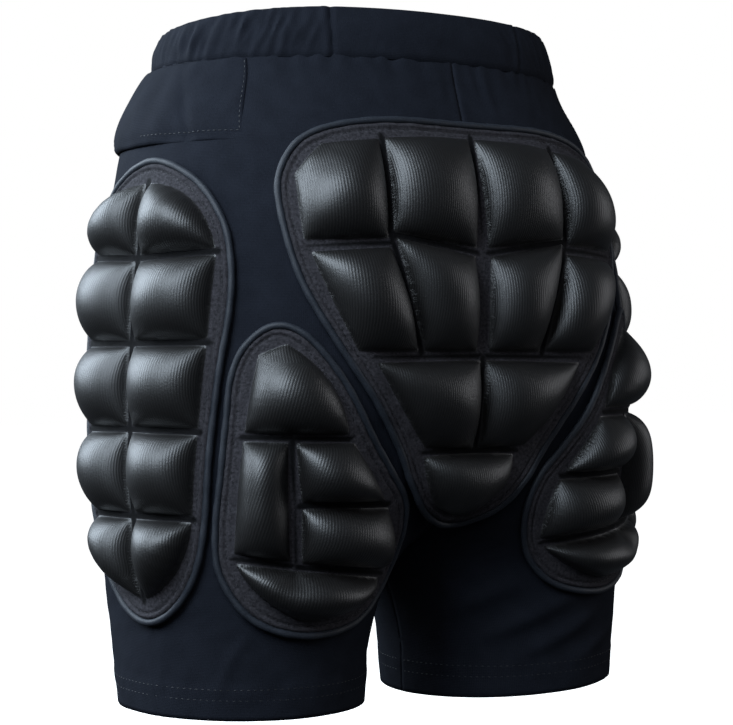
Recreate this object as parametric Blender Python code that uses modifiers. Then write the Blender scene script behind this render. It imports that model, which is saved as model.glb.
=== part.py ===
"""Padded hip shorts in the shape that they have when worn: knit shorts with a waistband and two
side pockets, and five quilted foam pads sewn on from outside, each with a bound edge.

Metres. +Z is up, the wearer faces -Y, and the wearer's left side is at +X. The origin lies in
the middle of the waist, 20 mm below the waistband's top edge.
"""

import math
from functools import lru_cache

import bmesh
import bpy
import numpy as np
from mathutils import Vector
from mathutils.geometry import delaunay_2d_cdt

# The shorts
TOP_ABOVE_ORIGIN = 0.020
LENGTH = 0.405
HIP_HALF_WIDTH = 0.174
BACK_DEPTH = 0.127
FRONT_DEPTH = 0.105
LEG_CENTRE_OUT = 0.0965
LEG_SWAY = 0.019
KNIT = 0.0015
SEAM_GAP = 0.0006

# The waistband and the side pockets
BAND_HEIGHT = 0.030
BAND_THICKNESS = 0.003
POCKET_DEPTH = 0.050
POCKET_HALF_WIDTH = 0.080
POCKET_CLOTH = 0.0012
POCKET_GAP = 0.0012
POCKET_BELLY = 0.007

# The pads
LAYER_GAP = 0.0009
MARGIN_THICKNESS = 0.003
CELL_RISE = 0.016
CHANNEL_WIDTH = 0.0055
BINDING_RADIUS = 0.0021
BINDING_GAP = 0.0004
SIDE_SEAM_BACK = 0.025

TAIL_HALF_WIDTH = 0.123
TAIL_HEIGHT = 0.568 * LENGTH
TAIL_TOP = 0.119 * LENGTH
HIP_PAD_HALF_WIDTH = 0.0645
HIP_PAD_HEIGHT = 0.645 * LENGTH
HIP_PAD_TOP = 0.173 * LENGTH
THIGH_PAD_REACH = 0.090
THIGH_PAD_HEIGHT = 0.425 * LENGTH
THIGH_PAD_TOP = 0.408 * LENGTH
RIGHT_LEG_TURN = 0.014
RIGHT_THIGH_PAD_UP = 0.012

# How finely the shapes are cut
ROW_SAMPLES = 361
PANEL_COLUMNS = 11
ROWS_ABOVE_CROTCH = 12
ROWS_BELOW_CROTCH = 4
BAND_COLUMNS = 20
POCKET_COLUMNS = 13
OUTLINE_STEP = 0.016
SHEET_STEP = 0.016
CELL_SIDE_STEPS = 3

# Sections of the body, from the top edge to the hem, as shares of the sizes above.
# down is of LENGTH, centre and inner of LEG_CENTRE_OUT, side of HIP_HALF_WIDTH, back of BACK_DEPTH,
# front of FRONT_DEPTH and sway of LEG_SWAY. A section is two ovals, one for each leg, about
# centre. inner is where an oval's inner side would be: below 0 the two run into one, above 0
# they are two legs.
SECTIONS = (
    # down, centre, side, inner, back, front, sway
    (0.000, 0.04, 0.733, -3.07, 0.756, 0.895, 0.00),
    (0.086, 0.15, 0.779, -2.86, 0.803, 0.933, 0.00),
    (0.173, 0.29, 0.879, -2.51, 0.890, 0.971, 0.05),
    (0.272, 0.42, 0.931, -2.07, 0.969, 0.981, 0.10),
    (0.420, 0.57, 0.977, -1.50, 1.000, 1.000, 0.16),
    (0.568, 0.70, 0.997, -1.00, 0.976, 0.952, 0.26),
    (0.679, 0.82, 1.008, -0.53, 0.906, 0.848, 0.47),
    (0.753, 0.89, 1.005, -0.19, 0.858, 0.771, 0.68),
    (0.815, 0.94, 0.994, 0.05, 0.819, 0.695, 0.84),
    (0.901, 0.99, 0.977, 0.20, 0.772, 0.619, 0.95),
    (1.000, 1.00, 0.957, 0.24, 0.744, 0.552, 1.00),
)
# How far cloth and tail pad bridge the cleft, as a share of how far the two ovals overlap.
CLOTH_BRIDGING = 0.5
PAD_BRIDGING = 1.1

# Outlines of the pads. across is a share of the pad's half width (the thigh pad's reach), and
# down of its height. The tail and hip pads give one half, from the top round to the bottom.
TAIL_OUTLINE = (
    # across, down
    (0.00, 0.000), (0.50, 0.003), (0.82, 0.042), (0.97, 0.125), (1.00, 0.225), (0.93, 0.392),
    (0.77, 0.549), (0.59, 0.684), (0.43, 0.805), (0.34, 0.890), (0.21, 0.967), (0.00, 1.000),
)
HIP_OUTLINE = (
    # across, down
    (0.00, 0.000), (0.50, 0.045), (0.83, 0.130), (0.97, 0.220), (1.00, 0.330), (0.92, 0.480),
    (0.83, 0.630), (0.72, 0.780), (0.55, 0.890), (0.29, 0.970), (0.00, 1.000),
)
THIGH_OUTLINE = (
    # across, down
    (0.80, 0.000), (0.95, 0.070), (0.99, 0.180), (0.94, 0.330), (0.87, 0.480), (0.80, 0.650),
    (0.69, 0.800), (0.42, 0.945), (0.06, 1.000), (-0.32, 0.965), (-0.52, 0.860), (-0.55, 0.720),
    (-0.45, 0.580), (-0.22, 0.465), (0.03, 0.340), (0.34, 0.150), (0.60, 0.025),
)

# Cells of the pads, corner by corner, in the outlines' shares. bow is how far the side that
# leaves the corner bulges outwards, as a share of that side. Corners lie on the channels'
# middle lines, or where a cell meets the pad's flat margin.
TAIL_CELLS = {
    # name: (across, down, bow) for each corner
    "first_outer": (
        (0.49, 0.042, 0.0), (0.78, 0.060, 0.03), (0.93, 0.140, 0.02),
        (0.92, 0.311, 0.0), (0.51, 0.303, 0.0),
    ),
    "first_inner": ((0.00, 0.030, 0.02), (0.49, 0.042, 0.0), (0.51, 0.287, 0.0), (0.02, 0.319, 0.0)),
    "second_outer": ((0.50, 0.308, 0.0), (0.90, 0.324, 0.02), (0.69, 0.575, 0.0), (0.35, 0.575, 0.0)),
    "second_inner": ((0.03, 0.324, 0.0), (0.51, 0.282, 0.0), (0.35, 0.575, 0.0), (0.02, 0.575, 0.0)),
    "third": ((0.00, 0.580, 0.0), (0.62, 0.587, 0.02), (0.30, 0.810, 0.0), (0.00, 0.815, 0.0)),
}
TIP_CELL = ((-0.27, 0.817, 0.02), (0.27, 0.817, 0.09), (0.16, 0.945, 0.13), (-0.16, 0.945, 0.09))
HIP_CELLS = {
    "first": ((0.00, 0.042, 0.17), (0.87, 0.205, 0.0), (0.00, 0.215, 0.0)),
    "second": ((0.00, 0.215, 0.0), (0.87, 0.205, 0.0), (0.85, 0.398, 0.0), (0.00, 0.400, 0.0)),
    "third": ((0.00, 0.400, 0.0), (0.85, 0.398, 0.0), (0.77, 0.588, 0.0), (0.00, 0.585, 0.0)),
    "fourth": ((0.00, 0.585, 0.0), (0.77, 0.588, 0.0), (0.65, 0.772, 0.0), (0.00, 0.770, 0.0)),
    "fifth": ((0.00, 0.770, 0.0), (0.65, 0.772, 0.13), (0.00, 0.960, 0.0)),
}
THIGH_CELLS = {
    # name: (across, down, bow) for each corner
    "top": ((0.76, 0.035, 0.06), (0.90, 0.150, 0.03), (0.83, 0.350, 0.0), (0.15, 0.355, 0.07)),
    "outer": ((0.83, 0.355, 0.0), (0.66, 0.735, 0.0), (0.27, 0.765, 0.0), (0.52, 0.360, 0.0)),
    "inner_upper": ((0.52, 0.360, 0.0), (0.35, 0.570, 0.0), (-0.30, 0.575, 0.0), (0.12, 0.360, 0.0)),
    "inner_lower": ((0.35, 0.570, 0.0), (0.24, 0.768, 0.0), (-0.47, 0.805, 0.06), (-0.30, 0.575, 0.0)),
    "bottom": ((0.67, 0.742, 0.08), (0.10, 0.965, 0.08), (-0.47, 0.815, 0.0), (0.25, 0.772, 0.0)),
}
# A cell's rounding, ring by ring: how wide the ring is, and how much of the rise it has.
CELL_RINGS = ((0.93, 0.50), (0.74, 0.84), (0.42, 0.97))

MATERIALS = {
    # name: (colour, roughness)
    "knit": ((0.012, 0.015, 0.021), 0.85),
    "cover": ((0.016, 0.015, 0.016), 0.42),
    "binding": ((0.020, 0.022, 0.028), 0.65),
}


def between_rows(table, at):
    """The columns of a table at a value of its first column, on a smooth curve through its rows."""
    keys = np.array([row[0] for row in table])
    rows = np.array([row[1:] for row in table])
    slopes = np.gradient(rows, keys, axis=0)
    at = min(max(at, keys[0]), keys[-1])
    k = min(int(np.searchsorted(keys, at, side="right")) - 1, len(keys) - 2)
    width = keys[k + 1] - keys[k]
    t = (at - keys[k]) / width
    return (
        (1 + 2 * t) * (1 - t) ** 2 * rows[k]
        + t * (1 - t) ** 2 * width * slopes[k]
        + t * t * (3 - 2 * t) * rows[k + 1]
        + t * t * (t - 1) * width * slopes[k + 1]
    )


def oval_sizes(z):
    """Centre x and y, then inner, side, back and front radius, of the left leg's oval at z."""
    down = (TOP_ABOVE_ORIGIN - z) / LENGTH
    centre, side, inner, back, front, sway = between_rows(SECTIONS, down)
    x, y = centre * LEG_CENTRE_OUT, sway * LEG_SWAY
    return (
        x,
        y,
        x - inner * LEG_CENTRE_OUT,
        side * HIP_HALF_WIDTH - x,
        back * BACK_DEPTH - y,
        front * FRONT_DEPTH + y,
    )


def crotch_height():
    """The z where the two legs part."""
    high, low = -0.5 * LENGTH, TOP_ABOVE_ORIGIN - LENGTH
    for _ in range(40):
        middle = (high + low) / 2
        x, _, inner, *_ = oval_sizes(middle)
        if inner > x:
            high = middle
        else:
            low = middle
    return (high + low) / 2


@lru_cache(maxsize=None)
def row(z, bridging=CLOTH_BRIDGING):
    """The left half's outline at z, from the back round the side to the front: points, arc
    lengths, and the arc lengths of the leg's back line and of the side line."""
    x, y, inner, side, back, front = oval_sizes(z)
    reach = math.asin(x / inner) if inner > x else math.pi / 2
    angle = np.linspace(-reach, math.pi + reach, ROW_SAMPLES)
    px = x + np.where(np.sin(angle) > 0, side, inner) * np.sin(angle)
    py = y + np.where(np.cos(angle) > 0, back, front) * np.cos(angle)
    cleft = bridging * max(0.0, inner - x)
    eased = np.minimum(np.sqrt(px**2 + cleft**2), x)
    eased_y = y + np.sign(py - y) * np.where(py > y, back, front) * np.sqrt(
        np.clip(1 - ((x - eased) / inner) ** 2, 0, 1)
    )
    py = np.where(np.sin(angle) > 0, py, eased_y)
    points = np.stack([px, py], axis=1)
    arcs = np.concatenate([[0], np.cumsum(np.linalg.norm(np.diff(points, axis=0), axis=1))])
    return points, arcs, np.interp(0, angle, arcs), np.interp(math.pi / 2, angle, arcs)


def surface(start, across, z):
    """The point of the knit's outer surface at z, across metres from a start line: the centre
    back, the leg's back line or the side line. Across grows towards the wearer's left on the
    centre line, and forwards on the other two."""
    bridging = PAD_BRIDGING if start == "centre" else CLOTH_BRIDGING
    points, arcs, leg_line, side_line = row(round(z, 7), bridging)
    mirrored = start == "centre" and across < 0
    at = abs(across) if start == "centre" else across + {"leg": leg_line, "side": side_line}[start]
    x = np.interp(at, arcs, points[:, 0])
    y = np.interp(at, arcs, points[:, 1])
    return Vector((-x if mirrored else x, y, z))


def on_body(start, across, z, lift=0.0):
    """A point lifted off the knit's outer surface, along its normal."""
    step = 0.001
    middle = surface(start, across, z)
    if not lift:
        return middle
    round_it = surface(start, across + step, z) - surface(start, across - step, z)
    up_it = surface(start, across, z + step) - surface(start, across, z - step)
    return middle + round_it.cross(up_it).normalized() * -lift


def add_object(name, bm, material):
    """A named object from a finished bmesh."""
    mesh = bpy.data.meshes.new(name)
    bm.to_mesh(mesh)
    bm.free()
    mesh.materials.append(bpy.data.materials[material])
    made = bpy.data.objects.new(name, mesh)
    bpy.data.collections["padded_hip_shorts"].objects.link(made)
    return made


def add_wall(made, thickness, smooth=True):
    """A Solidify that thickens an open surface inwards."""
    wall = made.modifiers.new("cloth", "SOLIDIFY")
    wall.thickness = thickness
    wall.offset = -1
    for face in made.data.polygons:
        face.use_smooth = smooth
    return made


def mirror_copy(source, name):
    """The wearer's right hand copy of a left hand piece."""
    bm = bmesh.new()
    bm.from_mesh(source.data)
    bmesh.ops.scale(bm, vec=(-1, 1, 1), verts=bm.verts)
    bmesh.ops.reverse_faces(bm, faces=bm.faces)
    copy = add_object(name, bm, source.data.materials[0].name)
    for modifier in source.modifiers:
        add_wall(copy, modifier.thickness)
    return copy


def grid_surface(rows):
    """A bmesh sheet through rows of points, each row as long as the first."""
    bm = bmesh.new()
    lines = [[bm.verts.new(point) for point in line] for line in rows]
    for upper, lower in zip(lines, lines[1:]):
        for k in range(len(upper) - 1):
            bm.faces.new((upper[k], upper[k + 1], lower[k + 1], lower[k]))
    return bm


def panel(name, front):
    """A left hand body panel, from the waistband's seam to the hem: the back one from the
    centre back to the side seam, or the front one from there to the centre front."""
    waist = TOP_ABOVE_ORIGIN - BAND_HEIGHT - SEAM_GAP / 2
    crotch = crotch_height()
    hem = TOP_ABOVE_ORIGIN - LENGTH
    heights = list(np.linspace(waist, crotch, ROWS_ABOVE_CROTCH + 1) + near_crotch(waist, crotch))
    heights += list(np.linspace(crotch, hem, ROWS_BELOW_CROTCH + 1)[1:])
    lines = []
    for z in heights:
        points, arcs, _, side_line = row(round(float(z), 7))
        seam = side_line - SIDE_SEAM_BACK
        first, last = (seam, arcs[-1]) if front else (0, seam)
        line = []
        for at in np.linspace(first + SEAM_GAP / 2, last - SEAM_GAP / 2, PANEL_COLUMNS + 1):
            x = max(np.interp(at, arcs, points[:, 0]), SEAM_GAP / 2)
            line.append((x, np.interp(at, arcs, points[:, 1]), z))
        lines.append(line)
    return add_wall(add_object(name, grid_surface(lines), "knit"), KNIT)


def near_crotch(waist, crotch):
    """Shifts that draw a panel's even rows down towards the crotch, where the body turns in."""
    even = np.linspace(0, 1, ROWS_ABOVE_CROTCH + 1)
    return (crotch - waist) * 0.10 * np.sin(math.pi * even)


def waistband():
    """The elastic band: one ring above the panels, a little proud of them."""
    bottom = TOP_ABOVE_ORIGIN - BAND_HEIGHT + SEAM_GAP / 2
    lines = []
    for z in np.linspace(TOP_ABOVE_ORIGIN, bottom, 4):
        points, arcs, *_ = row(round(float(z), 7))
        half = []
        for at in np.linspace(0, arcs[-1], BAND_COLUMNS + 1):
            half.append((np.interp(at, arcs, points[:, 0]), np.interp(at, arcs, points[:, 1]), z))
        lines.append(half + [(-x, y, z) for x, y, z in reversed(half[1:-1])])
    bm = grid_surface([line + line[:1] for line in lines])
    bmesh.ops.remove_doubles(bm, verts=bm.verts, dist=SEAM_GAP / 10)
    return add_wall(add_object("waistband", bm, "knit"), BAND_THICKNESS)


def side_pocket(name):
    """A cloth pocket hung from the waistband's seam, whose free lower edge stands off the body."""
    top = TOP_ABOVE_ORIGIN - BAND_HEIGHT - LAYER_GAP
    lines = []
    for share in np.linspace(0, 1, 5):
        line = []
        for side in np.linspace(-1, 1, POCKET_COLUMNS + 1):
            stand_off = POCKET_BELLY * share * math.cos(side * math.pi / 2)
            lift = POCKET_GAP + POCKET_CLOTH + stand_off
            across = side * POCKET_HALF_WIDTH
            line.append(on_body("side", across, top - share * POCKET_DEPTH, lift))
        lines.append(line)
    return add_wall(add_object(name, grid_surface(lines), "knit"), POCKET_CLOTH)


def closed_curve(corners, step):
    """Points about a step apart on a smooth closed curve through the corners."""
    ring = [Vector(corner) for corner in corners]
    count = len(ring)
    points = []
    for k in range(count):
        before, here, after, beyond = (ring[(k + j) % count] for j in (-1, 0, 1, 2))
        steps = max(1, round((after - here).length / step))
        for j in range(steps):
            t = j / steps
            a = here * 2 + (after - before) * t
            b = (before * 2 - here * 5 + after * 4 - beyond) * t**2
            c = (here * 3 - before - after * 3 + beyond) * t**3
            points.append((a + b + c) / 2)
    return points


def bowed_sides(corners):
    """Points along a polygon whose sides bulge by their bow, a share of their length."""
    points = []
    for (x, y, bow), (x2, y2, _) in zip(corners, corners[1:] + corners[:1]):
        start, side = Vector((x, y)), Vector((x2 - x, y2 - y))
        outwards = Vector((-side.y, side.x)) * bow * 4
        for j in range(CELL_SIDE_STEPS):
            t = j / CELL_SIDE_STEPS
            points.append(start + side * t + outwards * t * (1 - t))
    return points


def signed_area(points):
    return sum(a.cross(b) for a, b in zip(points, points[1:] + points[:1])) / 2


def drawn_in(points, distance):
    """A closed outline with every side moved inwards."""
    turn = 1 if signed_area(points) > 0 else -1
    moved = []
    for before, here, after in zip(points[-1:] + points, points, points[1:] + points[:1]):
        first, second = (here - before).normalized(), (after - here).normalized()
        normal = Vector((-first.y - second.y, first.x + second.x)).normalized() * turn
        slant = max(0.4, normal.dot(Vector((-first.y, first.x)) * turn))
        moved.append(here + normal * distance / slant)
    return moved


def inside(point, outline):
    """Whether a flat point lies in a closed outline."""
    odd = False
    for a, b in zip(outline, outline[1:] + outline[:1]):
        if (a.y > point.y) != (b.y > point.y):
            odd ^= point.x < a.x + (point.y - a.y) * (b.x - a.x) / (b.y - a.y)
    return odd


def fill_flat(outline, holes=(), loose=()):
    """Triangles, by point number, that fill an outline round its holes. The points count
    the outline first, then each hole, then the loose ones."""
    points = list(outline) + [p for hole in holes for p in hole] + list(loose)
    edges, first = [], 0
    for ring in (outline, *holes):
        edges += [(first + k, first + (k + 1) % len(ring)) for k in range(len(ring))]
        first += len(ring)
    found, _, faces, origin, *_ = delaunay_2d_cdt(points, edges, [], 1, 1e-7)
    number = [min(ids) for ids in origin]
    kept = []
    for face in faces:
        middle = sum((found[k] for k in face), Vector((0, 0))) / len(face)
        if inside(middle, outline) and not any(inside(middle, hole) for hole in holes):
            kept.append([number[k] for k in face])
    return kept


def inner_points(outline, step):
    """A square net of points inside an outline, clear of its edge."""
    clear = drawn_in(outline, step * 0.45)
    xs, ys = [p.x for p in outline], [p.y for p in outline]
    return [
        Vector((x, y))
        for x in np.arange(min(xs) + step / 2, max(xs), step)
        for y in np.arange(min(ys) + step / 2, max(ys), step)
        if inside(Vector((x, y)), clear)
    ]


def quilted_pad(name, start, outline, cells, mirrored=False):
    """A pad: a thin edge and channels with a rounded cushion in each cell, laid on the body.
    Outline and cells are flat, in metres from the start line and up from the origin."""
    side = -1 if mirrored else 1
    edge = drawn_in(outline, BINDING_RADIUS + BINDING_GAP)
    cells = [drawn_in(bowed_sides(list(cell)), CHANNEL_WIDTH / 2) for cell in cells]
    top = LAYER_GAP + MARGIN_THICKNESS
    bm = bmesh.new()

    def verts(points, lift):
        placed_points = [on_body(start, p.x, p.y, lift) for p in points]
        return [bm.verts.new((x * side, y, z)) for x, y, z in placed_points]

    def join(outer, inner):
        for k in range(len(outer)):
            following = (k + 1) % len(outer)
            bm.faces.new((outer[k], outer[following], inner[following], inner[k]))

    upper = verts(edge, top)
    rims = [verts(cell, top) for cell in cells]
    flat = upper + [vert for rim in rims for vert in rim]
    for face in fill_flat(edge, cells):
        bm.faces.new([flat[k] for k in face])
    for cell, rim in zip(cells, rims):
        middle = sum(cell, Vector((0, 0))) / len(cell)
        ring = rim
        for width, rise in CELL_RINGS:
            shrunk = [middle + (p - middle) * width for p in cell]
            within = verts(shrunk, top + rise * CELL_RISE)
            join(ring, within)
            ring = within
        crown = verts([middle], top + CELL_RISE)[0]
        for k in range(len(ring)):
            bm.faces.new((ring[k], ring[(k + 1) % len(ring)], crown))
    loose = inner_points(edge, SHEET_STEP)
    lower = verts(edge + loose, LAYER_GAP)
    for face in fill_flat(edge, loose=loose):
        bm.faces.new([lower[k] for k in face])
    join(upper, lower[: len(edge)])
    bmesh.ops.recalc_face_normals(bm, faces=bm.faces)
    made = add_object(name, bm, "cover")
    made.data.shade_smooth()
    made.data.set_sharp_from_angle(angle=math.radians(40))
    return made


def binding(name, start, outline, mirrored=False):
    """The rolled tape that is sewn round a pad's edge."""
    curve = bpy.data.curves.new(name, "CURVE")
    curve.dimensions = "3D"
    curve.bevel_depth = BINDING_RADIUS
    curve.bevel_resolution = 1
    line = curve.splines.new("POLY")
    line.points.add(len(outline) - 1)
    for place, p in zip(line.points, outline):
        x, y, z = on_body(start, p.x, p.y, LAYER_GAP + BINDING_RADIUS)
        place.co = (-x if mirrored else x, y, z, 1)
    line.use_cyclic_u = True
    curve.materials.append(bpy.data.materials["binding"])
    made = bpy.data.objects.new(name, curve)
    bpy.data.collections["padded_hip_shorts"].objects.link(made)
    return made


def pad_pair(name, start, outline, cells, right_out, right_up):
    """A left hand pad with its binding, and their right hand mirror images, which sit a little
    further forwards and up because the cloth is turned round the right leg as worn."""
    quilted_pad(name + "_pad_left", start, outline, cells)
    binding(name + "_binding_left", start, outline)
    outline = [p + Vector((right_out, right_up)) for p in outline]
    cells = [[(x + right_out, y + right_up, bow) for x, y, bow in cell] for cell in cells]
    quilted_pad(name + "_pad_right", start, outline, cells, mirrored=True)
    binding(name + "_binding_right", start, outline, mirrored=True)


def both_sides(half):
    """A whole outline from one half, whose first and last points lie on the middle line."""
    return list(half) + [(-across, down) for across, down in reversed(half[1:-1])]


def placed(points, width, height, top, shift=0.0):
    """Shares of a pad's sizes as flat metres. A bow stays as it is."""
    return [
        (shift + across * width, -top - down * height, *bow)
        for across, down, *bow in points
    ]


def with_mirrored(cells):
    """Cells and their images across the middle line, with each bow kept on its own side."""
    images = []
    for cell in cells:
        bows = [bow for _, _, bow in cell]
        flipped = [(-across, down) for across, down, _ in reversed(cell)]
        images.append([(*corner, bow) for corner, bow in zip(flipped, bows[-2::-1] + bows[-1:])])
    return list(cells) + images


def tail_pad():
    """The shield over the seat and tailbone."""
    sizes = (TAIL_HALF_WIDTH, TAIL_HEIGHT, TAIL_TOP)
    outline = closed_curve(placed(both_sides(TAIL_OUTLINE), *sizes), OUTLINE_STEP)
    cells = [placed(cell, *sizes) for cell in [TIP_CELL] + with_mirrored(TAIL_CELLS.values())]
    quilted_pad("tail_pad", "centre", outline, cells)
    binding("tail_binding", "centre", outline)


def hip_pads():
    """The long pads over the hip bones, centred on the side seams."""
    sizes = (HIP_PAD_HALF_WIDTH, HIP_PAD_HEIGHT, HIP_PAD_TOP, -SIDE_SEAM_BACK)
    outline = closed_curve(placed(both_sides(HIP_OUTLINE), *sizes), OUTLINE_STEP)
    cells = [placed(cell, *sizes) for cell in with_mirrored(HIP_CELLS.values())]
    pad_pair("hip", "side", outline, cells, RIGHT_LEG_TURN, 0)


def thigh_pads():
    """The egg-shaped pads on the backs of the thighs."""
    sizes = (THIGH_PAD_REACH, THIGH_PAD_HEIGHT, THIGH_PAD_TOP)
    outline = closed_curve(placed(THIGH_OUTLINE, *sizes), OUTLINE_STEP)
    cells = [placed(cell, *sizes) for cell in THIGH_CELLS.values()]
    pad_pair("thigh", "leg", outline, cells, RIGHT_LEG_TURN, RIGHT_THIGH_PAD_UP)


def main():
    for old in list(bpy.data.objects):
        bpy.data.objects.remove(old)
    group = bpy.data.collections.new("padded_hip_shorts")
    bpy.context.scene.collection.children.link(group)
    for name, (colour, roughness) in MATERIALS.items():
        material = bpy.data.materials.new(name)
        material.use_nodes = True
        shader = material.node_tree.nodes["Principled BSDF"]
        shader.inputs["Base Color"].default_value = (*colour, 1)
        shader.inputs["Roughness"].default_value = roughness
    for name, front in (("back_panel", False), ("front_panel", True)):
        mirror_copy(panel(name + "_left", front), name + "_right")
    waistband()
    mirror_copy(side_pocket("side_pocket_left"), "side_pocket_right")
    tail_pad()
    hip_pads()
    thigh_pads()


main()
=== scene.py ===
"""Looks for the padded hip shorts: fine cloth, quilted pads, bindings and stitches laid on the
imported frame, and the studio that they are seen in. Metres, +Z up, the wearer faces -Y and the
wearer's left side is at +X."""

import math

import bmesh
import bpy
import numpy as np
from mathutils import Matrix, Vector
from mathutils.geometry import delaunay_2d_cdt


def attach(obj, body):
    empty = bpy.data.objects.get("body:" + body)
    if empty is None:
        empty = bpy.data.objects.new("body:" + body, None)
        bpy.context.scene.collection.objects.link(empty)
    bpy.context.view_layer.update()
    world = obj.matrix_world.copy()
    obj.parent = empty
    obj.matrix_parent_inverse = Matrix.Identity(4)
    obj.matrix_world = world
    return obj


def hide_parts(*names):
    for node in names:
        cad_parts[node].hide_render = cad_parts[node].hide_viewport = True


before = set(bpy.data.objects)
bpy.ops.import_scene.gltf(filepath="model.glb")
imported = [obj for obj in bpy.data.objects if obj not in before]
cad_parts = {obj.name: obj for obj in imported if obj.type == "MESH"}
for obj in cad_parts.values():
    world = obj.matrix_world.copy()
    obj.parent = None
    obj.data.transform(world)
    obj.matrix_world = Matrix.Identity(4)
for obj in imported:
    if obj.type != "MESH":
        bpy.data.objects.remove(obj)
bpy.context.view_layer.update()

# The shorts' form, as in the part's source
TOP_ABOVE_ORIGIN = 0.020
LENGTH = 0.405
HIP_HALF_WIDTH = 0.174
BACK_DEPTH = 0.127
FRONT_DEPTH = 0.105
LEG_CENTRE_OUT = 0.0965
LEG_SWAY = 0.019
KNIT = 0.0015
BAND_HEIGHT = 0.030
BAND_THICKNESS = 0.003
POCKET_DEPTH = 0.050
POCKET_HALF_WIDTH = 0.080
POCKET_CLOTH = 0.0012
POCKET_GAP = 0.0012
POCKET_BELLY = 0.007
LAYER_GAP = 0.0009
MARGIN_THICKNESS = 0.003
CELL_RISE = 0.0168
CHANNEL_WIDTH = 0.0036
BINDING_RADIUS = 0.0021
SIDE_SEAM_BACK = 0.025
TAIL_HALF_WIDTH = 0.123
TAIL_HEIGHT = 0.568 * LENGTH
TAIL_TOP = 0.119 * LENGTH
HIP_PAD_HALF_WIDTH = 0.0645
HIP_PAD_HEIGHT = 0.645 * LENGTH
HIP_PAD_TOP = 0.173 * LENGTH
THIGH_PAD_REACH = 0.090
THIGH_PAD_HEIGHT = 0.425 * LENGTH
THIGH_PAD_TOP = 0.408 * LENGTH
RIGHT_LEG_TURN = 0.014
RIGHT_THIGH_PAD_UP = 0.012
CLOTH_BRIDGING = 0.5
PAD_BRIDGING = 1.1

SEAM_Z = TOP_ABOVE_ORIGIN - BAND_HEIGHT
HEM_Z = TOP_ABOVE_ORIGIN - LENGTH

# How finely the cloth is cut
ROW_SAMPLES = 721
MAP_STEP = 0.0015
PAD_STEP = 0.00095
UNDERSIDE_STEP = 0.009
CLOTH_STEP = 0.0026
CLIMB_STEP = 0.001
LEG_COLUMNS = 180

# The cushions and their margins
CROWN_FULLNESS = 0.50
RIM_SOFTNESS = 0.0007
EDGE_UNDER_TAPE = BINDING_RADIUS * 0.6
MARGIN_GROOVE_IN = 0.0041
# How far the painted shade reaches from the channels between cells, and how softly it fades
CHANNEL_SHADE_REACH = 0.0046
CHANNEL_SHADE_FADE = 0.0014

# The knit's hems, tucks and stitches
TUCK = 0.003
FRONT_DIP = 0.010
RIGHT_HEM_TILT = 0.009
HEM_STITCHES_UP = (0.0115, 0.0175)
POCKET_STITCHES_IN = 0.0022
THREAD_RADIUS = 0.00028
PAD_STITCH, PAD_STITCH_GAP = 0.0024, 0.0010
HEM_STITCH, HEM_STITCH_GAP = 0.0026, 0.0012

# The studio and the photograph's view
MIDDLE = Vector((0, 0, -0.185))
CAMERA_AZIMUTH = 146
CAMERA_DISTANCE = 1.25
FOCAL_PIXELS = 1986
PICTURE_WIDTH = 733
MIDDLE_IN_PICTURE = 356
FLOOR_Z = HEM_Z - 0.25
AMBIENT = 0.05
LIGHTS = (
    # name, azimuth, elevation, distance, size, power, colour
    ("key", 113, 35, 1.8, (1.1, 1.0), 50, (0.76, 0.88, 1.0)),
    ("side", 44, 28, 1.7, (1.5, 1.2), 66, (0.76, 0.88, 1.0)),
    ("front", 160, 26, 2.2, (1.3, 1.1), 10, (0.95, 0.96, 1.0)),
    ("far", 244, 12, 2.2, (1.0, 1.2), 9, (0.95, 0.96, 1.0)),
)

SIDES = (
    # side, mirrored, the pocket's seed
    ("left", False, 41),
    ("right", True, 46),
)
PADS = (
    # name, mirrored, moved across and up, seed
    ("tail", False, (0, 0), 3),
    ("hip_left", False, (0, 0), 5),
    ("hip_right", True, (RIGHT_LEG_TURN, 0), 7),
    ("thigh_left", False, (0, 0), 9),
    ("thigh_right", True, (RIGHT_LEG_TURN, RIGHT_THIGH_PAD_UP), 11),
)

SECTIONS = (
    # down, centre, side, inner, back, front, sway
    (0.000, 0.04, 0.733, -3.07, 0.756, 0.895, 0.00),
    (0.086, 0.15, 0.779, -2.86, 0.803, 0.933, 0.00),
    (0.173, 0.29, 0.879, -2.51, 0.890, 0.971, 0.05),
    (0.272, 0.42, 0.931, -2.07, 0.969, 0.981, 0.10),
    (0.420, 0.57, 0.977, -1.50, 1.000, 1.000, 0.16),
    (0.568, 0.70, 0.997, -1.00, 0.976, 0.952, 0.26),
    (0.679, 0.82, 1.008, -0.53, 0.906, 0.848, 0.47),
    (0.753, 0.89, 1.005, -0.19, 0.858, 0.771, 0.68),
    (0.815, 0.94, 0.994, 0.05, 0.819, 0.695, 0.84),
    (0.901, 0.99, 0.977, 0.20, 0.772, 0.619, 0.95),
    (1.000, 1.00, 0.957, 0.24, 0.744, 0.552, 1.00),
)

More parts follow.
